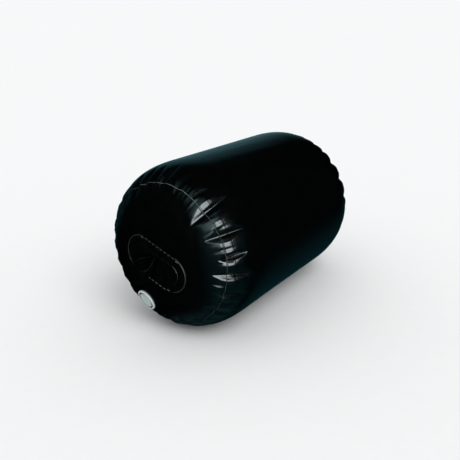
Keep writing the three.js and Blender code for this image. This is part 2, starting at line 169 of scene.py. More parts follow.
class FenderFinish(bpy.types.PropertyGroup):
    """Colours of the finishes."""

    fabric: colour_setting("Fabric", "Colour of the coated fabric", (0.0007, 0.0009, 0.0010))
    cut_edge: colour_setting("Cut edge", "Colour of the fabric's cut edge", (0.16, 0.17, 0.17))
    webbing: colour_setting("Webbing", "Colour of the webbing", (0.0006, 0.0007, 0.0007))
    moulding: colour_setting("Moulding", "Colour of the valve's plastic", (0.66, 0.75, 0.74))


# Meshes

def turn_outwards(mesh):
    """Turns the faces of a closed mesh round where they point inwards, which the sign of its volume tells.

    The volume is a sixth of the sum of a . (b x c) over the triangles of its faces, with corners a, b and c.
    """
    mesh.calc_loop_triangles()
    corners = np.empty(len(mesh.loop_triangles) * 3, dtype=np.int32)
    mesh.loop_triangles.foreach_get("vertices", corners)
    points = np.empty(len(mesh.vertices) * 3, dtype=np.float32)
    mesh.vertices.foreach_get("co", points)
    points = points.reshape(-1, 3).astype(float)
    a, b, c = (points - points.mean(axis=0))[corners.reshape(-1, 3)].transpose(1, 0, 2)
    if (a * np.cross(b, c)).sum() < 0:
        mesh.flip_normals()


def fill_mesh(name, points, corners, sizes, finish, places=None):
    """Makes a smooth mesh, with its faces outwards, of its points and of the corners of its faces in a row.

    Each face has a size and a material number, and each corner may have a place in the UV map.
    """
    mesh = bpy.data.meshes.new(name)
    mesh.vertices.add(len(points))
    mesh.vertices.foreach_set("co", points.astype(np.float32).reshape(-1))
    mesh.loops.add(len(corners))
    mesh.loops.foreach_set("vertex_index", corners.astype(np.int32))
    mesh.polygons.add(len(sizes))
    starts = np.concatenate([[0], np.cumsum(sizes)[:-1]])
    mesh.polygons.foreach_set("loop_start", starts.astype(np.int32))
    mesh.polygons.foreach_set("use_smooth", np.ones(len(sizes), dtype=bool))
    mesh.polygons.foreach_set("material_index", finish.astype(np.int32))
    if places is not None:
        mesh.uv_layers.new(name="UVMap").data.foreach_set("uv", places.astype(np.float32).reshape(-1))
    mesh.update(calc_edges=True)
    mesh.validate()
    turn_outwards(mesh)
    return mesh


def grid_faces(rows, columns, wrap_rows=False, poles=(False, False)):
    """The corners and the sizes of the faces of a grid of points whose last column joins its first.

    wrap_rows joins the last row to the first. A pole is a point behind those of the grid that closes the
    first or the last row with a fan of triangles.
    """
    row, column = np.meshgrid(np.arange(rows - 1 + wrap_rows), np.arange(columns), indexing="ij")
    right, below = (column + 1) % columns, (row + 1) % rows
    quads = np.stack([row * columns + column, row * columns + right,
                      below * columns + right, below * columns + column], axis=-1)
    ring = np.arange(columns)
    following = (ring + 1) % columns
    last = (rows - 1) * columns
    fans = []
    if poles[0]:
        fans.append(np.stack([following, ring, np.full(columns, rows * columns)], axis=-1))
    if poles[1]:
        tip = rows * columns + len(fans)
        fans.append(np.stack([last + ring, last + following, np.full(columns, tip)], axis=-1))
    corners = np.concatenate([faces.reshape(-1) for faces in (quads, *fans)])
    return corners, np.repeat([4, 3], [row.size, len(fans) * columns])


def surface(name, points, wrap_rows=False, start_pole=None, end_pole=None, finish=0, uv=None):
    """Makes a mesh of a grid of points, rows by columns by 3, as grid_faces joins them.

    finish is the material number of the faces, or an array of them that fits rows by columns. uv holds two
    numbers a point, for a grid that doesn't wrap its rows; its last column of faces continues them instead of
    jumping back.
    """
    rows, columns = points.shape[:2]
    closed = (start_pole is not None, end_pole is not None)
    corners, sizes = grid_faces(rows, columns, wrap_rows, closed)
    finish = np.broadcast_to(finish, (rows - 1 + wrap_rows, columns))
    finishes = [finish.reshape(-1)] + [finish[row] for row, pole in zip((0, -1), closed) if pole]
    poles = [np.reshape(pole, (1, 3)) for pole in (start_pole, end_pole) if pole is not None]
    places = None
    if uv is not None:
        on_quads = uv.reshape(-1, 2)[corners[:4 * finish.size]].reshape(*finish.shape, 4, 2)
        closing = uv[:, -1] + uv[:, 1] - uv[:, 0]
        on_quads[:, -1, 1] = closing[:-1]
        on_quads[:, -1, 2] = closing[1:]
        places = np.concatenate([on_quads.reshape(-1, 2), np.zeros((3 * columns * len(poles), 2))])
    points = np.concatenate([points.reshape(-1, 3)] + poles)
    return fill_mesh(name, points, corners, sizes, np.concatenate(finishes), places)


def full_turn(steps):
    """Equal steps of a full turn, in radians."""
    return np.linspace(0, 2 * math.pi, steps, endpoint=False)


def path_length(x, y):
    """Distances along a path from its start to each of its points."""
    return np.concatenate([[0], np.cumsum(np.hypot(np.diff(x), np.diff(y)))])


def bell(place, middle, width):
    """A Gauss bell: e to the power of minus the square of the distance from the middle, in widths."""
    return np.exp(-((place - middle) / width) ** 2)


def apart(angle, centre):
    """How far an angle lies from a centre, from -180 to 180 degrees."""
    return (angle - centre + 180) % 360 - 180


def add_object(name, data):
    """Links a new object into the scene."""
    added = bpy.data.objects.new(name, data)
    bpy.context.scene.collection.objects.link(added)
    return added


def add_piece(mesh, finishes, replaced=()):
    """Links a finished piece, gives it its materials and rides it on the fender."""
    piece = add_object(mesh.name, mesh)
    for finish in finishes:
        mesh.materials.append(finish)
    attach(piece, BODY)
    if replaced:
        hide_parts(*replaced)
    return piece


# The skin

def end_outline(skin, steps=1200):
    """The outline of an end as arrays: reach along the axis, radius, both parts of the normal, and distance.

    The distance is along the skin from the pole. The outline is a superellipse: ((x - barrel) / bulge) to the
    power plus (r / radius) to the power is one.
    """
    turn = np.linspace(math.pi / 2, 0, steps)
    share = 2 / skin.end_squareness
    reach = np.clip(np.sin(turn), 0, None) ** share
    spread = np.clip(np.cos(turn), 0, None) ** share
    x = HALF_LENGTH - skin.end_bulge + skin.end_bulge * reach
    r = RADIUS * spread
    normal_x = reach ** (skin.end_squareness - 1) / skin.end_bulge
    normal_r = spread ** (skin.end_squareness - 1) / RADIUS
    size = np.hypot(normal_x, normal_r)
    return x, r, normal_x / size, normal_r / size, path_length(x, r)


def seam_along(skin):
    """Distance along the skin from the pole to the seam."""
    _, r, _, _, along = end_outline(skin)
    return float(np.interp(RADIUS - skin.seam_inset, r, along))


def wave(angle, *terms):
    """Sum of sines of the angle in degrees; each term is a whole number of waves, a size and a phase."""
    turn = np.radians(angle)
    return sum(size * np.sin(count * turn + phase) for count, size, phase in terms)


# A gather: where along the skin from the seam its flanks change from straight to pillowed, the power of its
# width along it, and the middle and width of the swelling beside it, as shares of the half width.
PILLOW_START, PILLOW_STOP = -0.004, 0.03
WIDTH_POWER = 0.75
SWELLING_MIDDLE, SWELLING_WIDTH = 1.35, 0.45

# A gather leans by the sine of its angle's number of degrees times this, so each leans in its own way.
LEAN_FACTOR = 1.7

# The fine wrinkles: the middle and width of their band, from the seam.
RIPPLE_MIDDLE, RIPPLE_WIDTH = 0.012, 0.03


def gather_relief(skin, side, from_seam, angle):
    """How far the skin lies below its smooth form, in metres.

    Each gather is a lens: one less the square of the distance along it, as a share of its half length. Across
    it, the depth is (1 - a) to a power, where a is the distance from the crease as a share of the half width,
    rounded off at the crease. So its flanks are pillowed, less so towards the pole, and its crease is round.
    Gauss bells add the way the skin stands out beside each gather, and sines the fine wrinkles at the seam.
    """
    seam_radius = RADIUS - skin.seam_inset
    dents = np.zeros(np.broadcast(from_seam, angle).shape)
    bulges = np.zeros(dents.shape)
    power = np.interp(from_seam, [PILLOW_START, PILLOW_STOP], [skin.pole_pillow, skin.gather_pillow])
    for centre, depth, width, to_pole, to_barrel in GATHERS[side]:
        middle = (to_barrel - to_pole) / 2 * MM
        half = (to_barrel + to_pole) / 2 * MM
        lens = np.clip(1 - ((from_seam - middle) / half) ** 2, 0, None)
        lean = centre + skin.gather_lean * np.sin(centre * LEAN_FACTOR) * (from_seam - middle) / half
        off = apart(angle, lean)
        half_angle = math.degrees(width * skin.gather_width / 2 / seam_radius)
        across = off / np.maximum(half_angle * lens ** WIDTH_POWER, 1e-6)
        rounding = skin.crease_rounding
        rise = np.clip((1 - np.hypot(across, rounding)) / (1 - rounding), 0, 1)
        dents = np.maximum(dents, depth * skin.gather_depth * lens * rise ** power)
        bulges += depth * lens * bell(np.abs(off) / half_angle, SWELLING_MIDDLE, SWELLING_WIDTH)
    band = bell(from_seam, RIPPLE_MIDDLE, RIPPLE_WIDTH)
    fine = wave(angle, (47, 1, 0.3), (71, 0.8, 1.9 + side), (113, 0.5, 0.7), (29, 1, 2.2))
    return dents - skin.pillow * bulges + skin.ripple * fine * band


def skin_points(skin, side, from_seam, angle, lift=0.0):
    """Points of the skin at distances from the seam and angles round the axis, lifted along the normal.

    The flat spot is where the skin would pass below the floor: there it is laid on it.
    """
    x, r, normal_x, normal_r, along = end_outline(skin)
    place = np.clip(from_seam + seam_along(skin), 0, along[-1])
    off = lift - gather_relief(skin, side, from_seam, angle)
    nx, nr = np.interp(place, along, normal_x), np.interp(place, along, normal_r)
    radius = np.interp(place, along, r) + nr * off
    reach = np.interp(place, along, x) + nx * off
    turn = np.radians(angle)
    z = AXIS_HEIGHT + radius * np.sin(turn)
    return np.stack(np.broadcast_arrays(side * reach, radius * np.cos(turn), np.maximum(z, lift)), axis=-1)


# The part of the skin that holds the gathers, from the seam, and where the plain rows behind it start.
GATHERS_FROM, GATHERS_TO, PLAIN_FROM = -0.052, 0.086, 0.095

# The rows of the skin: before the gathers, over them, behind them, and along the barrel between both ends.
POLE_ROWS, GATHER_ROWS, PLAIN_ROWS, BARREL_ROWS = 10, 52, 4, 7

# The rows before the gathers stand at equal shares of the way, raised to this power.
POLE_POWER = 0.8


def bag_rows(skin):
    """Distances from the seam at which the skin has its rows, close together where the gathers are."""
    start = seam_along(skin)
    end = float(end_outline(skin)[4][-1]) - start
    inner = -start + (start + GATHERS_FROM) * np.linspace(0, 1, POLE_ROWS + 2)[1:-1] ** POLE_POWER
    gathered = np.linspace(GATHERS_FROM, GATHERS_TO, GATHER_ROWS)
    return np.concatenate([inner, gathered, np.linspace(PLAIN_FROM, end, PLAIN_ROWS)])


# How much denser the angles stand at a crease, over how many degrees, and the steps of the integral.
CREASE_CROWDING, CREASE_DEGREES = 2, 2.2
DENSITY_STEPS = 7201


def crowded_angles(side, count):
    """Angles round an end, three times as close together at the creases of its gathers.

    The density is one plus a Gauss bell at each crease, and the angles stand at equal steps of its integral.
    """
    fine = np.linspace(0, 360, DENSITY_STEPS)
    density = np.ones(fine.shape)
    for centre, *_ in GATHERS[side]:
        density += CREASE_CROWDING * bell(apart(fine, centre), 0, CREASE_DEGREES)
    total = np.concatenate([[0], np.cumsum((density[1:] + density[:-1]) / 2)])
    return np.interp(np.linspace(0, total[-1], count, endpoint=False), total, fine)


def make_bag(skin, finish):
    """The gathered bag, from the near pole over the barrel to the far pole.

    Between the last rows of both ends the barrel is a straight blend of the two, so its points run straight.
    """
    rows = bag_rows(skin)[:, None]
    near = skin_points(skin, -1, rows, crowded_angles(-1, skin.columns)[None, :])
    far = skin_points(skin, 1, rows, crowded_angles(1, skin.columns)[None, :])[::-1]
    share = np.linspace(0, 1, BARREL_ROWS + 2)[1:-1, None, None]
    barrel = near[-1] * (1 - share) + far[0] * share
    points = np.concatenate([near, barrel, far])
    poles = [np.array([s * HALF_LENGTH, 0, AXIS_HEIGHT]) for s in (-1, 1)]
    mesh = surface("air_bag_skin", points, start_pole=poles[0], end_pole=poles[1])
    bag = add_piece(mesh, [finish], ["air_bag"])


# The section of a tape, from its inner edge to its outer one and back below it: the share of the width, the
# share of the thickness, and whether the face that follows is the pale cut edge.
TAPE_SECTION = np.array([
    (0, 0, 0), (0, 0.6, 0), (0.02, 0.9, 0), (0.05, 0.95, 1), (0.075, 0.9, 1), (0.1, 0.35, 0), (0.12, 0.3, 0),
    (0.16, 0.5, 0), (0.3, 0.55, 0), (0.45, 0.55, 0), (0.6, 0.55, 0), (0.75, 0.55, 0), (0.9, 0.55, 0),
    (0.955, 0.5, 0), (0.985, 0.3, 0), (1, 0, 0), (0.5, 0, 0),
])

# Where the deepest gather pulls the near tape aside: the middle and the width, in degrees.
PULL_MIDDLE, PULL_WIDTH = 128, 9

# The points round a tape.
TAPE_COLUMNS = 1100


def make_tape(skin, end, finish, edge_finish):
    """The tape over one seam: a band that starts with a thin welded lip, whose outer flank is its cut edge.

    Its section is carried round the seam on the gathered skin. Both edges wander by a sum of sines, and the
    inner edge of the near one by a Gauss bell as well.
    """
    side = SIDES[end]
    angle = crowded_angles(side, TAPE_COLUMNS)[None, :]
    share, lift, is_edge = TAPE_SECTION.T[..., None]
    terms = ((9, 0.6, 0.4), (23, 0.7, 2.0), (41, 0.35, 1.1 + side), (67, 0.2, 0.2))
    inner = skin.tape_wave * wave(angle, *terms)
    if side < 0:
        inner -= skin.tape_pull * bell(angle, PULL_MIDDLE, PULL_WIDTH)
    wander = skin.tape_wave * wave(angle, (11, 0.5, 1.4), (27, 0.5, 0.1), (52, 0.3, 2.6))
    from_seam = inner + (skin.tape_width + wander - inner) * share
    points = skin_points(skin, side, from_seam, angle, lift * skin.tape_thickness)
    mesh = surface(f"seam_tape_{end}_band", points, wrap_rows=True, finish=is_edge)
    add_piece(mesh, [finish, edge_finish], [f"seam_tape_{end}"])


# Patches and loops

def end_frame(ends, side, node):
    """The origin and the axes of what sits on an end: along the patch, across it, and out of the end."""
    low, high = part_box(node)
    along = np.array([0, -math.cos(ends.tilt), -math.sin(ends.tilt)])
    out = np.array([side, 0, 0])
    origin = np.array([0, (low.y + high.y) / 2, (low.z + high.z) / 2])
    return origin, along, np.cross(out, along), out


def end_reach(skin, spread):
    """How far along the axis the smooth end lies at a distance from the axis."""
    share = np.clip(spread / RADIUS, 0, 1) ** skin.end_squareness
    return HALF_LENGTH - skin.end_bulge + skin.end_bulge * (1 - share) ** (1 / skin.end_squareness)


def on_end(skin, placed, along, across, lift):
    """Points on the smooth end at places along and across a patch, lifted out of it."""
    origin, a, b, out = placed
    flat = origin + along[..., None] * a + across[..., None] * b
    reach = end_reach(skin, np.hypot(flat[..., 1], flat[..., 2] - AXIS_HEIGHT)) + lift
    return flat * np.array([0, 1, 1]) + reach[..., None] * out


# A layer of fabric: the width of its crowned edge, and the stations on a round end and between both.
CROWN = 0.0011
ROUND_STATIONS, STRAIGHT_STATIONS = 20, 40

# The points of a layer's section between its crowned edges, and of its foot.
TOP_POINTS, FOOT_POINTS = 17, 5

# The crowned edge of a layer's section, from the edge inwards: how much of the crown is taken off the width,
# and how much off the height.
CROWN_INSET = np.array([0, 0.3, 1])
CROWN_DROP = np.array([0.9, 0.35, 0])


def make_layer(skin, placed, node, size, levels, finishes, glint_from):
    """A round-ended layer of fabric on an end, a closed section carried along it.

    Stations run along the layer, closer at its round ends, where the half width is that of a circle. The
    section has a crowned edge and a wall down to the skin. The cut edge is painted pale only past a station,
    given as a share of half the length: partly its paler core, partly a painted glint at that end.
    """
    length, width = size
    base, top = levels
    r, half = width / 2, length / 2 - width / 2
    arc = np.linspace(0, math.pi / 2, ROUND_STATIONS + 2)[1:-1]
    middle = np.linspace(-half, half, STRAIGHT_STATIONS)
    station = np.concatenate([-half - r * np.sin(arc[::-1]), middle, half + r * np.sin(arc)])
    half_width = r * np.concatenate([np.cos(arc[::-1]), np.ones(STRAIGHT_STATIONS), np.cos(arc)])
    flat = np.linspace(-1, 1, TOP_POINTS + 2)[1:-1]
    core = np.concatenate([[-1] * 3, flat, [1] * 3])
    inset = CROWN * np.concatenate([CROWN_INSET, np.ones(TOP_POINTS), CROWN_INSET[::-1]])
    drop = CROWN * np.concatenate([CROWN_DROP, np.zeros(TOP_POINTS), CROWN_DROP[::-1]])
    across_top = core * (half_width[:, None] - inset)
    foot = half_width[:, None] * np.linspace(1, -1, FOOT_POINTS)
    across = np.concatenate([across_top, foot], axis=1)
    lift = np.concatenate([top - drop, np.full(FOOT_POINTS, base)])
    points = on_end(skin, placed, station[:, None], across, lift)
    tips = [on_end(skin, placed, np.array(s * (half + r)), np.array(0.0), np.array(base)) for s in (-1, 1)]
    is_edge = np.zeros(across.shape[1], dtype=int)
    is_edge[[0, len(core) - 2, len(core) - 1, -1]] = 1
    pale = (station[:-1] > glint_from * length / 2)[:, None] * is_edge
    mesh = surface(f"{node}_layer", points, start_pole=tips[0], end_pole=tips[1], finish=pale)
    add_piece(mesh, finishes, [node])


# The level of a patch's underside, and where the cut edges of a patch and a cover start to be painted pale,
# as cut edge and painted glint.
PATCH_BASE = 0.0001
PATCH_GLINT_FROM, COVER_GLINT_FROM = 0.5, 0.66

# The rim of a patch: half its width, its height, how deep it sinks, and the points along and round it.
RIM_HALF_WIDTH, RIM_HEIGHT, RIM_SINK = 0.0008, 0.0009, 0.0003
RIM_STATIONS, RIM_SIDES = 420, 8

# Where the rim is left in the fabric's own black, without its painted glint, in degrees round the patch: up
# to the first, from the second on, and as far as the third on both sides of the top.
BLACK_UP_TO, BLACK_FROM, BLACK_ROUND_TOP = -60, 215, 8


def make_rim(skin, ends, end, placed):
    """The raised rim of a patch: a half ellipse carried once round the patch's outline, a little inside it.

    The outline is an oblong with round ends, given by the distance along it from the middle of its lower
    edge. The rim has the pale cut edge's colour, partly a painted glint; along both long edges it is left in
    the fabric's own black.
    """
    r, half = ends.patch_width / 2 - CROWN, ends.patch_length / 2 - ends.patch_width / 2
    bend = math.pi * r
    corners = np.cumsum([0, half, bend, 2 * half, bend, half])
    place = np.linspace(0, corners[-1], RIM_STATIONS, endpoint=False)
    turn = np.interp(place, corners, math.pi / 2 * np.array([-1, -1, 1, 1, 3, 3]))[:, None]
    middle = np.interp(place, corners, [0, half, half, -half, -half, 0])[:, None]
    round_it = full_turn(RIM_SIDES)
    out = r + RIM_HALF_WIDTH * np.cos(round_it)
    lift = np.clip(RIM_HEIGHT * np.sin(round_it), -RIM_SINK, None) + ends.patch_top
    points = on_end(skin, placed, middle + np.cos(turn) * out, np.sin(turn) * out, lift)
    degrees = np.degrees(turn)
    # Painted glint: the rim is pale, as cut edge and glint, except at these places, which take the fabric's
    # black.
    takes_second_finish = (degrees < BLACK_UP_TO) | (degrees > BLACK_FROM) | (np.abs(degrees - 90) < BLACK_ROUND_TOP)
    return surface(f"patch_rim_{end}", points, wrap_rows=True, finish=takes_second_finish.astype(int))


# A weld bead: its sizes, the points along and round it, how deep it sinks, and how far its middle lies inside
# the patch's edge.
BEAD_LENGTH, BEAD_WIDTH, BEAD_HEIGHT = 0.0087, 0.0028, 0.0011
BEAD_ROWS, BEAD_SIDES = 8, 8
BEAD_SINK = 0.0004
BEAD_INSET = 0.0022

# How far the rows of beads run into the round ends, and how much they turn inwards there.
BEADS_PAST_STRAIGHT, BEADS_TURN = 0.018, 0.35


def bead_points():
    """A low bead along X: an ellipse in section that narrows to round ends. Its two tips come last.

    Its size is the cosine of the turn from tip to tip to the power 0.6.
    """
    turn = np.linspace(-math.pi / 2, math.pi / 2, BEAD_ROWS + 2)[1:-1, None]
    size = np.cos(turn) ** 0.6
    round_it = full_turn(BEAD_SIDES)
    rings = np.stack(np.broadcast_arrays(
        BEAD_LENGTH / 2 * np.sin(turn), BEAD_WIDTH / 2 * size * np.cos(round_it),
        BEAD_HEIGHT * size * np.sin(round_it)), axis=-1)
    return np.concatenate([rings.reshape(-1, 3), [(-BEAD_LENGTH / 2, 0, 0), (BEAD_LENGTH / 2, 0, 0)]])


def make_beads(skin, ends, end, placed):
    """The rows of weld beads along both long edges of a patch, all in one mesh."""
    half = ends.patch_length / 2 - ends.patch_width / 2
    count = int(2 * (half + BEADS_PAST_STRAIGHT) / ends.bead_pitch)
    spots = np.tile((np.arange(count) - (count - 1) / 2) * ends.bead_pitch, 2)
    inwards = BEAD_INSET + BEADS_TURN * np.clip(np.abs(spots) - half, 0, None)
    edges = np.repeat([-1, 1], count) * (ends.patch_width / 2 - inwards)
    bead = bead_points()
    along = spots[:, None] + bead[:, 0]
    lift = np.clip(bead[:, 2], -BEAD_SINK, None) + ends.patch_top
    points = on_end(skin, placed, along, edges[:, None] + bead[:, 1], lift)
    corners, sizes = grid_faces(BEAD_ROWS, BEAD_SIDES, poles=(True, True))
    corners = corners + len(bead) * np.arange(2 * count)[:, None]
    sizes = np.tile(sizes, 2 * count)
    return fill_mesh(f"weld_beads_{end}", points.reshape(-1, 3), corners.reshape(-1), sizes, 0 * sizes)


def strap_line(ends, turn):
    """Middle of the strap at a turn from 0 to two pi, aside and outwards: a teardrop.

    Outwards it is the reach times (1 - cos turn) / 2, and aside the spread times sin turn times that share,
    scaled so that its widest place is the spread. At the root the legs keep their gap.
    """
    share = (1 - np.cos(turn)) / 2
    legs = ends.leg_gap / 2
    spread = (ends.loop_spread - ends.strap_thickness / 2) * 8 / (3 * math.sqrt(3))
    reach = ends.loop_reach - ends.strap_thickness / 2 - ends.patch_top
    return legs * np.cos(turn / 2) + spread * np.sin(turn) * share, reach * share, share


# A strap: its stations, the points across each side and round each selvedge, and how deep its bend is cupped.
STRAP_STATIONS = 141
SIDE_POINTS, SELVEDGE_POINTS = 13, 5
CUP = 0.0022

# The leg of a loop on which the selvedges are painted pale, as painted highlights, ends at this share of a
# half turn.
HIGHLIGHT_LEG = 0.8


def make_loop(ends, end, finishes):
    """The webbing loop of one end: a flat section with rounded selvedges carried along the strap's line."""
    origin, along, across, out = end_frame(ends, SIDES[end], f"webbing_loop_{end}")
    turn = np.linspace(0, 2 * math.pi, STRAP_STATIONS)
    aside, outwards, share = strap_line(ends, turn)
    tangent = np.stack([np.gradient(aside), np.gradient(outwards)])
    tangent = (tangent / np.linalg.norm(tangent, axis=0))[..., None]
    length = path_length(aside, outwards)
    aside, outwards, share = aside[:, None], outwards[:, None], share[:, None]
    width = ends.root_width + (ends.bend_width - ends.root_width) * share
    t = ends.strap_thickness / 2
    level = np.zeros(SIDE_POINTS)
    selvedge = np.linspace(-math.pi / 2, math.pi / 2, SELVEDGE_POINTS + 2)[1:-1]
    half = np.array([
        np.concatenate([np.linspace(-1, 1, SIDE_POINTS), np.ones(SELVEDGE_POINTS)]),
        np.concatenate([level, np.cos(selvedge)]) * t,
        np.concatenate([level - 1, np.sin(selvedge)]) * t,
    ])
    edge, bulge, face = np.concatenate([half, -half], axis=1)
    sideways = aside - tangent[1] * face
    up = outwards + tangent[0] * face - CUP * share ** 3 * edge ** 2
    wide = edge * (width / 2 - t) + bulge
    base = HALF_LENGTH + ends.patch_top
    points = (origin * np.array([0, 1, 1]) + sideways[..., None] * along + wide[..., None] * across
              + (base + up)[..., None] * out)
    points[..., 1] += ends.loop_lean * share ** 2
    points[..., 2] -= ends.loop_droop * share ** 2
    uv = np.stack(np.broadcast_arrays(wide, length[:, None]), axis=-1)
    on_selvedge = np.arange(len(edge)) % (len(edge) // 2) >= SIDE_POINTS - 1
    # Painted highlight: the selvedges of one leg take a copy of the webbing ten times paler.
    takes_second_finish = (turn[:-1, None] < HIGHLIGHT_LEG * math.pi) & on_selvedge
    mesh = surface(f"webbing_loop_{end}_strap", points, start_pole=points[0].mean(axis=0),
                   end_pole=points[-1].mean(axis=0), finish=takes_second_finish.astype(int), uv=uv)
    add_piece(mesh, finishes, [f"webbing_loop_{end}"])


# The valve

def valve_frame(skin, ends, valve):
    """The origin and axes of the valve; the last axis is the skin's normal there."""
    origin, along, across, _ = end_frame(ends, -1, "end_patch_near")
    flat = origin + along * valve.aside - across * valve.drop
    y, z = flat[1], flat[2] - AXIS_HEIGHT
    x, r, normal_x, normal_r, _ = end_outline(skin)
    spread = math.hypot(y, z)
    radial = np.array([0, y, z]) / spread
    around = np.cross([1, 0, 0], radial)
    out = radial * np.interp(spread, r, normal_r) - np.array([1, 0, 0]) * np.interp(spread, r, normal_x)
    out /= np.linalg.norm(out)
    place = np.array([-np.interp(spread, r, x), 0, AXIS_HEIGHT]) + radial * spread
    return place, around, np.cross(out, around), out


def rounded(section, size, steps=5):
    """A section with its corners rounded: each corner becomes an arc-like curve between its two sides.

    The curve is a quadratic one. size is the largest distance that a corner may take from each side, and it
    takes less than half of a short side.
    """
    t = np.linspace(0, 1, steps)[:, None]
    out = [section[:1]]
    for before, corner, after in zip(section[:-2], section[1:-1], section[2:]):
        ends = []
        for side in (before - corner, after - corner):
            length = np.linalg.norm(side)
            ends.append(corner + side / length * min(size, length / 2.1))
        out.append((1 - t) ** 2 * ends[0] + 2 * t * (1 - t) * corner + t ** 2 * ends[1])
    out.append(section[-1:])
    return np.concatenate(out)


def turned(name, section, placed, steps=160, closed=False, finish=0):
    """A piece turned from a section of radius and level around the valve's axis."""
    place, a, b, out = placed
    angle = full_turn(steps)[:, None]
    ring = np.cos(angle) * a + np.sin(angle) * b
    tips = {}
    if not closed:
        tips = {"start_pole": place + out * section[0, 1], "end_pole": place + out * section[-1, 1]}
        section = section[1:-1]
    points = place + section[:, 0, None, None] * ring + section[:, 1, None, None] * out
    return surface(name, points, wrap_rows=closed, finish=finish, **tips)


# The valve's radii: the housing's bore and its cup, the cap's skirt inside and outside, and the cap's middle.
BORE, CUP_RADIUS = 0.0198, 0.0226
SKIRT_INSIDE, SKIRT_OUTSIDE = 0.0171, 0.0195
CAP_MIDDLE = 0.004

# The housing's rim: its width and its taper. The cap's rim: its width, and the width down to its dish.
RIM_WIDTH, RIM_TAPER = 0.005, 0.0006
CAP_RIM, CAP_SLOPE = 0.0034, 0.0042

# How far the cup's bottom reaches into the bore, and how much the corners of the housing and cap are rounded.
BOTTOM_LIP = 0.004
HOUSING_ROUNDING, CAP_ROUNDING = 0.0011, 0.0007

# Levels over the skin: the rim's top, the ledge round the cap, the flange's foot, both sides of the bottom.
RIM_TOP, LEDGE, FOOT = 0.0024, -0.0018, -0.0042
BOTTOM_INSIDE, BOTTOM_OUTSIDE = -0.018, -0.0202

# Levels of the cap: its rim's top, its dish's edge and middle, and the end of its skirt.
CAP_TOP, DISH_EDGE, DISH_MIDDLE, SKIRT_END = 0.0028, 0.0021, 0.0018, -0.006

# The painted shade in the groove: how far it keeps off the bore, reaches over the rim's inner wall, and
# reaches below the ledge.
SHADE_OFF_BORE, SHADE_OVER_WALL, SHADE_BELOW = 0.001, 0.0004, 0.0012


def make_valve(skin, ends, valve, finish, cap_finish, groove):
    """The valve's housing and cap, as fine turned pieces over the solid ones, with painted shade in the
    groove: a dark copy of the plastic.

    The groove is the ledge round the cap and the inner wall of the rim.
    """
    placed = valve_frame(skin, ends, valve)
    edge, cap = valve.flange_radius, valve.cap_radius
    inner = edge - RIM_WIDTH
    housing = np.array([
        (BORE, BOTTOM_INSIDE), (BORE, LEDGE), (inner, LEDGE), (inner, RIM_TOP), (edge - RIM_TAPER, RIM_TOP),
        (edge, FOOT), (CUP_RADIUS, FOOT), (CUP_RADIUS, BOTTOM_OUTSIDE), (BORE - BOTTOM_LIP, BOTTOM_OUTSIDE),
        (BORE - BOTTOM_LIP, BOTTOM_INSIDE), (BORE, BOTTOM_INSIDE),
    ])
    ring = rounded(housing, HOUSING_ROUNDING)[:-1][::-1]
    radius, level = ring.T
    # The faces in the groove take the dark finish: painted shade.
    between = (radius > BORE + SHADE_OFF_BORE) & (radius < inner + SHADE_OVER_WALL)
    in_groove = between & (level > LEDGE - SHADE_BELOW)
    mesh = turned("valve_housing_moulding", ring, placed, closed=True, finish=in_groove.astype(int)[:, None])
    add_piece(mesh, [finish, groove], ["valve_housing"])
    section = np.array([
        (0, 0), (SKIRT_INSIDE, 0), (SKIRT_INSIDE, SKIRT_END), (SKIRT_OUTSIDE, SKIRT_END), (SKIRT_OUTSIDE, 0),
        (cap, 0), (cap, CAP_TOP), (cap - CAP_RIM, CAP_TOP), (cap - CAP_SLOPE, DISH_EDGE),
        (CAP_MIDDLE, DISH_MIDDLE), (0, DISH_MIDDLE),
    ])
    mesh = turned("valve_cap_moulding", rounded(section, CAP_ROUNDING), placed)
    add_piece(mesh, [cap_finish], ["valve_cap"])


# Finishes

def set_inputs(tree, node, inputs):
    """Puts constants on a node's sockets, and links the sockets that take another node's output."""
    for socket, value in inputs.items():
        if isinstance(value, bpy.types.NodeSocket):
            tree.links.new(value, node.inputs[socket])
        else:
            node.inputs[socket].default_value = value


def add_node(tree, kind, inputs, **settings):
    """Adds a node to a tree, with its settings and its inputs."""
    node = tree.nodes.new(kind)
    for setting, value in settings.items():
        setattr(node, setting, value)
    set_inputs(tree, node, inputs)
    return node


def new_finish(name):
    """A new material, with its tree of nodes and its shader."""
    finish = bpy.data.materials.new(name)
    finish.use_nodes = True
    return finish, finish.node_tree, finish.node_tree.nodes["Principled BSDF"]


def object_place(tree):
    """The output that gives a point's place on the piece, in metres."""
    return tree.nodes.new("ShaderNodeTexCoord").outputs["Object"]


def noise(tree, place, scale, detail):
    """The value of a noise texture."""
    node = add_node(tree, "ShaderNodeTexNoise", {"Vector": place, "Scale": scale, "Detail": detail})
    return node.outputs["Fac"]


def ramp(tree, source, low, high, start=0.3, stop=0.7):
    """Maps a value to a colour between two colours."""
    node = add_node(tree, "ShaderNodeValToRGB", {"Fac": source})
    for element, position, colour in zip(node.color_ramp.elements, (start, stop), (low, high)):
        element.position = position
        element.color = (*colour, 1)
    return node.outputs["Color"]


def map_range(tree, value, limits, kind="LINEAR"):
    """Maps a value from one range, the first two limits, onto another, the last two, and keeps it inside."""
    inputs = dict(zip(("From Min", "From Max", "To Min", "To Max"), limits), Value=value)
    return add_node(tree, "ShaderNodeMapRange", inputs, interpolation_type=kind).outputs["Result"]


def scaled(tree, vector, share):
    """A vector or a colour times a share."""
    inputs = {0: vector, "Scale": share}
    return add_node(tree, "ShaderNodeVectorMath", inputs, operation="SCALE").outputs[0]


def bump(tree, height, depth, **below):
    """The normal of a bump of some depth in metres; below may give the Normal that it stands on."""
    inputs = {"Height": height, "Distance": depth, **below}
    return add_node(tree, "ShaderNodeBump", inputs).outputs["Normal"]


def shade(colour, share):
    """A colour made darker or lighter by a share."""
    return tuple(min(c * share, 1) for c in colour)


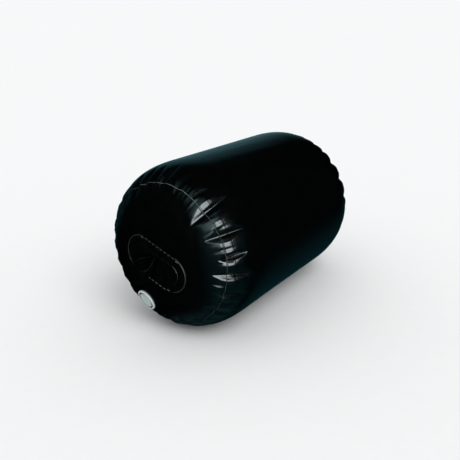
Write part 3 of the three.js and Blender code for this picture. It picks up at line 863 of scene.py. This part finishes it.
def coated_fabric(name, colour, gloss=0.2):
    """Black coated fabric: a fine leathery grain on a soft unevenness, and faint scuffs."""
    finish, tree, shader = new_finish(name)
    place = object_place(tree)
    scuffs = noise(tree, place, scale=38, detail=6)
    grain = add_node(tree, "ShaderNodeTexVoronoi", {"Vector": place, "Scale": 900}).outputs["Distance"]
    soft = bump(tree, noise(tree, place, scale=55, detail=3), depth=0.0004)
    set_inputs(tree, shader, {
        "Base Color": ramp(tree, scuffs, shade(colour, 0.75), shade(colour, 1.5)),
        "Roughness": map_range(tree, scuffs, (0.3, 0.7, gloss - 0.035, gloss + 0.045)),
        "IOR": 1.5,
        "Normal": bump(tree, grain, depth=0.00003, Normal=soft),
    })
    return finish


# The heights over the axis up to which a cut edge is painted darker, as painted shade, and from which on it
# keeps its full colour.
SHADED_UP_TO, UNSHADED_FROM = 0.12, 0.185


def cut_edge(name, colour, grime=1.0):
    """The cut edge of the fabric, where its paler core shows; low down it is painted darker, as painted
    shade, down to a share of its colour.
    """
    finish, tree, shader = new_finish(name)
    place = object_place(tree)
    patches = noise(tree, place, scale=170, detail=4)
    patchy = ramp(tree, patches, shade(colour, 0.45), shade(colour, 1.25))
    # Painted shade: the cut edge is painted darker towards the bottom.
    height = add_node(tree, "ShaderNodeSeparateXYZ", {0: place}).outputs["Z"]
    lit_share = map_range(tree, height, (AXIS_HEIGHT + SHADED_UP_TO, AXIS_HEIGHT + UNSHADED_FROM, grime, 1))
    set_inputs(tree, shader, {
        "Base Color": scaled(tree, patchy, lit_share),
        "Roughness": 0.6,
        "Normal": bump(tree, noise(tree, place, scale=900, detail=2), depth=0.00015),
    })
    return finish


def woven_webbing(name, colour):
    """Webbing: ribs along the strap crossed by finer picks, which follow the strap's own UV map in metres."""
    finish, tree, shader = new_finish(name)
    place = add_node(tree, "ShaderNodeUVMap", {}, uv_map="UVMap").outputs["UV"]
    ribs, picks = (
        add_node(tree, "ShaderNodeTexWave", {"Vector": place, "Scale": scale}, bands_direction=across)
        for scale, across in ((170, "X"), (190, "DIAGONAL"))
    )
    both = {0: ribs.outputs["Fac"], 1: picks.outputs["Fac"]}
    weave = add_node(tree, "ShaderNodeMath", both, operation="MULTIPLY").outputs[0]
    set_inputs(tree, shader, {
        "Base Color": ramp(tree, weave, shade(colour, 0.5), shade(colour, 2.2), start=0.1, stop=0.8),
        "Roughness": 0.42,
        "Specular IOR Level": 0.05,
        "Normal": bump(tree, weave, depth=0.0002),
    })
    return finish


def moulded_plastic(name, colour, roughness=0.42):
    """Moulded plastic or rubber: slightly uneven in colour and gloss."""
    finish, tree, shader = new_finish(name)
    place = object_place(tree)
    uneven = noise(tree, place, scale=90, detail=4)
    set_inputs(tree, shader, {
        "Base Color": ramp(tree, uneven, shade(colour, 0.92), shade(colour, 1.05)),
        "Roughness": map_range(tree, uneven, (0.3, 0.7, roughness - 0.05, roughness + 0.05)),
        "Normal": bump(tree, noise(tree, place, scale=2500, detail=2), depth=0.00003),
    })
    return finish


def drawn_steel(name):
    """Spring wire, with fine drawing marks."""
    finish, tree, shader = new_finish(name)
    marks = noise(tree, object_place(tree), scale=3000, detail=2)
    set_inputs(tree, shader, {
        "Base Color": ramp(tree, marks, (0.5, 0.5, 0.51), (0.68, 0.68, 0.69)),
        "Metallic": 1,
        "Roughness": 0.3,
    })
    return finish


def finish_of(name, make, *colour, **values):
    """A finish by name, made on its first use."""
    return bpy.data.materials.get(name) or make(name, *colour, **values)


# Operators

class FENDER_OT_stage(bpy.types.Operator):
    """Sets the camera, the floor, the world, the tent and the lights."""

    bl_idname = "fender.stage"
    bl_label = "Stage"

    def execute(self, context):
        set_camera(context.scene)
        set_floor()
        set_world(context.scene)
        set_tent()
        set_lights()
        return {"FINISHED"}


class FENDER_OT_bag(bpy.types.Operator):
    """Makes the gathered bag."""

    bl_idname = "fender.bag"
    bl_label = "Bag"

    def execute(self, context):
        scene = context.scene
        make_bag(scene.fender_skin, finish_of("bag_fabric", coated_fabric, scene.fender_finish.fabric))
        return {"FINISHED"}


class FENDER_OT_tapes(bpy.types.Operator):
    """Makes the tape over the seam of each end."""

    bl_idname = "fender.tapes"
    bl_label = "Seam tapes"

    def execute(self, context):
        scene = context.scene
        tape = finish_of("tape_fabric", coated_fabric, scene.fender_finish.fabric)
        # The tape's cut edge is painted darker low down, as painted shade.
        edge = finish_of("tape_cut_edge", cut_edge, scene.fender_finish.cut_edge, grime=0.3)
        for end in SIDES:
            make_tape(scene.fender_skin, end, tape, edge)
        return {"FINISHED"}


class FENDER_OT_patches(bpy.types.Operator):
    """Makes the patch, its cover, its weld beads and its rim on each end."""

    bl_idname = "fender.patches"
    bl_label = "End patches"

    def execute(self, context):
        scene = context.scene
        skin, ends = scene.fender_skin, scene.fender_ends
        colours = scene.fender_finish
        fabric = finish_of("patch_fabric", coated_fabric, colours.fabric, gloss=0.26)
        # The patch's cut edge and its weld beads are pale grey: partly their own colour, partly painted
        # glints.
        edge = finish_of("patch_cut_edge", cut_edge, shade(colours.cut_edge, 0.22))
        bead = finish_of("bead_fabric", cut_edge, shade(colours.cut_edge, 0.5))
        for end, side in SIDES.items():
            placed = end_frame(ends, side, f"end_patch_{end}")
            make_layer(skin, placed, f"end_patch_{end}", (ends.patch_length, ends.patch_width),
                       (PATCH_BASE, ends.patch_top), [fabric, edge], PATCH_GLINT_FROM)
            make_layer(skin, placed, f"patch_cover_{end}", (ends.cover_length, ends.cover_width),
                       (ends.patch_top, ends.cover_top), [fabric, edge], COVER_GLINT_FROM)
            add_piece(make_beads(skin, ends, end, placed), [bead])
            add_piece(make_rim(skin, ends, end, placed), [edge, fabric])
        return {"FINISHED"}


class FENDER_OT_loops(bpy.types.Operator):
    """Makes the webbing loop of each end."""

    bl_idname = "fender.loops"
    bl_label = "Webbing loops"

    def execute(self, context):
        scene = context.scene
        webbing = scene.fender_finish.webbing
        # The selvedge finish is the webbing ten times paler: a painted highlight.
        finishes = [finish_of("strap_webbing", woven_webbing, webbing),
                    finish_of("strap_selvedge", woven_webbing, shade(webbing, 10))]
        for end in SIDES:
            make_loop(scene.fender_ends, end, finishes)
        return {"FINISHED"}


class FENDER_OT_valve(bpy.types.Operator):
    """Makes the valve's housing and cap, and finishes the pieces inside it."""

    bl_idname = "fender.valve"
    bl_label = "Valve"

    def execute(self, context):
        scene = context.scene
        moulding = scene.fender_finish.moulding
        plastic = finish_of("valve_plastic", moulded_plastic, moulding)
        rubber = finish_of("seal_rubber", moulded_plastic, (0.02, 0.02, 0.021), roughness=0.75)
        steel = finish_of("spring_wire", drawn_steel)
        cap = finish_of("cap_plastic", moulded_plastic, shade(moulding, 0.8))
        # The groove's finish is the plastic painted dark: painted shade in the groove.
        groove = finish_of("groove_grime", moulded_plastic, shade(moulding, 0.12), roughness=0.7)
        make_valve(scene.fender_skin, scene.fender_ends, scene.fender_valve, plastic, cap, groove)
        inside = {
            "valve_cap_seal": rubber, "valve_diaphragm": rubber, "valve_stem": plastic, "valve_spring": steel,
        }
        for node, finish in inside.items():
            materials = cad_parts[node].data.materials
            materials.clear()
            materials.append(finish)
        return {"FINISHED"}


class FENDER_PT_panel(bpy.types.Panel):
    """Lists the fender's operators."""

    bl_label = "Boat Fender"
    bl_idname = "FENDER_PT_panel"
    bl_space_type = "VIEW_3D"
    bl_region_type = "UI"
    bl_category = "Fender"

    def draw(self, context):
        for operator in OPERATORS:
            self.layout.operator(operator.bl_idname)


# The stage

# The colour of the background and floor, and the strength of the sky's light.
PALE = (0.93, 0.945, 0.95)
SKY_LEVEL = 0.75

# The camera: where it stands, its focal length and frame in pixels, its sensor in millimetres, and how far
# right of and above the frame's middle it shows the fender's middle, in pixels.
CAMERA_BACK = Vector((-0.7773, -0.5302, 0.3387))
CAMERA_DISTANCE = 1.691
FOCAL_PIXELS = 557
FRAME_PIXELS = 460
SENSOR = 36
MIDDLE_RIGHT_PIXELS = 8.7
MIDDLE_UP_PIXELS = 10.4

# The floor: half its size, and how far it lies below the fender.
FLOOR_HALF = 30
FLOOR_DROP = 0.0004


def camera_axes():
    """The camera's right, up and back directions."""
    back = CAMERA_BACK.normalized()
    right = Vector((0, 0, 1)).cross(back).normalized()
    return right, back.cross(right), back


def set_camera(scene):
    """The camera at the photograph's angle, aimed beside the fender's middle to frame it as there."""
    data = bpy.data.cameras.new("camera")
    data.sensor_width = SENSOR
    data.lens = FOCAL_PIXELS / FRAME_PIXELS * SENSOR
    camera = add_object("camera", data)
    middle = Vector((0, 0, AXIS_HEIGHT))
    right, up, back = camera_axes()
    camera.location = middle + back * CAMERA_DISTANCE
    pixel = CAMERA_DISTANCE / FOCAL_PIXELS
    aim = middle - right * (MIDDLE_RIGHT_PIXELS * pixel) - up * (MIDDLE_UP_PIXELS * pixel)
    camera.rotation_euler = (aim - camera.location).to_track_quat("-Z", "Y").to_euler()
    scene.camera = camera


def sheet(name, centre, right, up):
    """A mesh of one flat face, given by its centre and by half its width and height as vectors."""
    signs = np.array([(-1, -1), (1, -1), (1, 1), (-1, 1)])
    mesh = bpy.data.meshes.new(name)
    mesh.from_pydata((centre + signs @ np.array([right, up])).tolist(), [], [(0, 1, 2, 3)])
    return mesh


def set_floor():
    """The pale floor, a large sheet."""
    mesh = sheet("floor", np.zeros(3), (FLOOR_HALF, 0, 0), (0, FLOOR_HALF, 0))
    floor = add_object("floor", mesh)
    floor.location.z = -FLOOR_DROP
    finish, tree, shader = new_finish("floor_paper")
    paper = noise(tree, object_place(tree), scale=30, detail=3)
    set_inputs(tree, shader, {
        "Base Color": ramp(tree, paper, shade(PALE, 0.995), shade(PALE, 1.005)),
        "Roughness": 0.9,
        "Specular IOR Level": 0,
    })
    mesh.materials.append(finish)
    floor.visible_glossy = False


# The dim panels of the tent that the gloss mirrors: azimuth and elevation of the middle of each, the angles
# from it at which its glow is full and gone, its strength and its colour.
GLOWS = (
    (58, -16, 8, 42, 0.105, (0.04, 0.8, 1.0)),
    (66, 25, 6, 28, 1.8, (0.6, 0.95, 0.98)),
    (358, 10, 3, 24, 0.12, (0.1, 0.8, 1.0)),
    (20, -52, 12, 50, 0.08, (0.05, 0.9, 1.0)),
    (80, 54, 4, 24, 0.45, (0.4, 0.9, 0.95)),
    (200, 12, 8, 40, 0.07, (0.2, 0.85, 1.0)),
    (232, 7, 3, 27, 0.12, (0.32, 0.85, 0.97)),
    (238, 0, 2, 16, 0.14, (0.5, 0.92, 1.0)),
    (269, -32, 6, 32, 0.035, (0.1, 0.8, 1.0)),
    (200, -86, 8, 34, 0.1, (0.3, 0.85, 1.0)),
)


def direction(azimuth, elevation):
    """A unit vector; azimuth 0 is -Y and 90 is -X, in degrees."""
    a, e = math.radians(azimuth), math.radians(elevation)
    return np.array([-math.sin(a) * math.cos(e), -math.cos(a) * math.cos(e), math.sin(e)])


def glow_colour(tree):
    """The sum of the glows at a place of the tent: each falls off smoothly with the angle from its middle."""
    inputs = {0: object_place(tree)}
    towards = add_node(tree, "ShaderNodeVectorMath", inputs, operation="NORMALIZE").outputs[0]
    total = (0, 0, 0)
    for azimuth, elevation, full, gone, strength, colour in GLOWS:
        inputs = {0: towards, 1: tuple(direction(azimuth, elevation))}
        near = add_node(tree, "ShaderNodeVectorMath", inputs, operation="DOT_PRODUCT").outputs["Value"]
        reach = [math.cos(math.radians(angle)) for angle in (gone, full)]
        fall = map_range(tree, near, (*reach, 0, strength), "SMOOTHSTEP")
        inputs = {0: total, 1: scaled(tree, colour, fall)}
        total = add_node(tree, "ShaderNodeVectorMath", inputs, operation="ADD").outputs[0]
    return total


def set_world(scene):
    """The world: a soft even light, and the pale background where the camera, gloss or glass sees it."""
    world = bpy.data.worlds.new("studio")
    world.use_nodes = True
    world.cycles.sampling_method = "NONE"
    scene.world = world
    tree = world.node_tree
    tree.nodes.clear()
    rays = tree.nodes.new("ShaderNodeLightPath").outputs
    seen = rays["Is Camera Ray"]
    for kind in ("Is Glossy Ray", "Is Transmission Ray"):
        seen = add_node(tree, "ShaderNodeMath", {0: seen, 1: rays[kind]}, operation="MAXIMUM").outputs[0]
    light = add_node(tree, "ShaderNodeBackground", {"Color": (1, 1, 1, 1), "Strength": SKY_LEVEL})
    backdrop = add_node(tree, "ShaderNodeBackground", {"Color": (*PALE, 1)})
    both = {"Fac": seen, 1: light.outputs[0], 2: backdrop.outputs[0]}
    either = add_node(tree, "ShaderNodeMixShader", both)
    add_node(tree, "ShaderNodeOutputWorld", {"Surface": either.outputs[0]})


def add_reflected(mesh, finish):
    """Puts in a card or a tent that shows in reflections alone."""
    mesh.materials.append(finish)
    card = add_object(mesh.name, mesh)
    card.visible_camera = False
    card.visible_diffuse = False
    card.visible_transmission = False
    card.visible_volume_scatter = False
    card.visible_shadow = False


def new_glow(name):
    """A material that only gives light, with its tree of nodes and its light node."""
    finish, tree, _ = new_finish(name)
    tree.nodes.clear()
    light = tree.nodes.new("ShaderNodeEmission")
    add_node(tree, "ShaderNodeOutputMaterial", {"Surface": light.outputs[0]})
    return finish, tree, light


# The tent: its radius, its rows and columns, and half the angle of its opening, in degrees.
TENT_RADIUS = 40
TENT_ROWS, TENT_COLUMNS = 39, 64
TENT_OPENING = 13


def set_tent():
    """A dark tent with dim panels, which stands far round the fender and shows in its gloss alone.

    It is a sphere in polar coordinates round the camera's line of sight. It is open behind the fender, where
    the gloss sees the pale background, up to the angle of the opening from that line.
    """
    right, up, back = (np.array(axis) for axis in camera_axes())
    polar = np.radians(np.linspace(TENT_OPENING, 180, TENT_ROWS + 1)[:-1])[:, None, None]
    turn = full_turn(TENT_COLUMNS)[:, None]
    ring = np.cos(turn) * right + np.sin(turn) * up
    points = TENT_RADIUS * (np.sin(polar) * ring - np.cos(polar) * back)
    finish, tree, light = new_glow("tent_cloth")
    set_inputs(tree, light, {"Color": glow_colour(tree)})
    finish.cycles.emission_sampling = "NONE"
    add_reflected(surface("dark_tent", points, end_pole=TENT_RADIUS * back), finish)


# The softbox that shows in the gloss: azimuth, elevation, distance, width, height, strength and colour.
SOFTBOX = (42, 18, 2.4, 1.1, 1.45, 10.0, (0.9, 1.0, 0.99, 1))

# The sun that gives the soft shadow: azimuth, elevation, the angle that it fills, and its strength.
SUN = (20, 50, 40, 1.02)


def set_lights():
    """The softbox that the gloss mirrors and a broad sun that the gloss doesn't show."""
    azimuth, elevation, distance, width, height, strength, colour = SOFTBOX
    out = direction(azimuth, elevation)
    right = np.cross([0, 0, 1], out)
    right /= np.linalg.norm(right)
    centre = np.array([0, 0, AXIS_HEIGHT]) + out * distance
    card = sheet("softbox_right", centre, right * width / 2, np.cross(out, right) * height / 2)
    finish, tree, light = new_glow("softbox_right_light")
    set_inputs(tree, light, {"Color": colour, "Strength": strength})
    add_reflected(card, finish)
    azimuth, elevation, filled, strength = SUN
    data = bpy.data.lights.new("sun", "SUN")
    data.energy = strength
    data.angle = math.radians(filled)
    sun = add_object("sun", data)
    sun.rotation_euler = (-Vector(direction(azimuth, elevation))).to_track_quat("-Z", "Y").to_euler()
    sun.visible_glossy = False


GROUPS = {
    "fender_skin": FenderSkin,
    "fender_ends": FenderEnds,
    "fender_valve": FenderValve,
    "fender_finish": FenderFinish,
}
OPERATORS = (
    FENDER_OT_stage,
    FENDER_OT_bag,
    FENDER_OT_tapes,
    FENDER_OT_patches,
    FENDER_OT_loops,
    FENDER_OT_valve,
)


def register():
    """Registers the settings, the operators and the panel."""
    for name, group in GROUPS.items():
        bpy.utils.register_class(group)
        setattr(bpy.types.Scene, name, PointerProperty(type=group))
    for operator in OPERATORS:
        bpy.utils.register_class(operator)
    bpy.utils.register_class(FENDER_PT_panel)


def unregister():
    """Takes back what register did."""
    bpy.utils.unregister_class(FENDER_PT_panel)
    for operator in reversed(OPERATORS):
        bpy.utils.unregister_class(operator)
    for name, group in GROUPS.items():
        delattr(bpy.types.Scene, name)
        bpy.utils.unregister_class(group)


def main():
    """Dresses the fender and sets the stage."""
    register()
    scene = bpy.context.scene
    scene.view_settings.view_transform = "Standard"
    bpy.ops.fender.stage()
    bpy.ops.fender.bag()
    bpy.ops.fender.tapes()
    bpy.ops.fender.patches()
    bpy.ops.fender.loops()
    bpy.ops.fender.valve()
    bpy.context.view_layer.update()


if __name__ == "__main__":
    main()
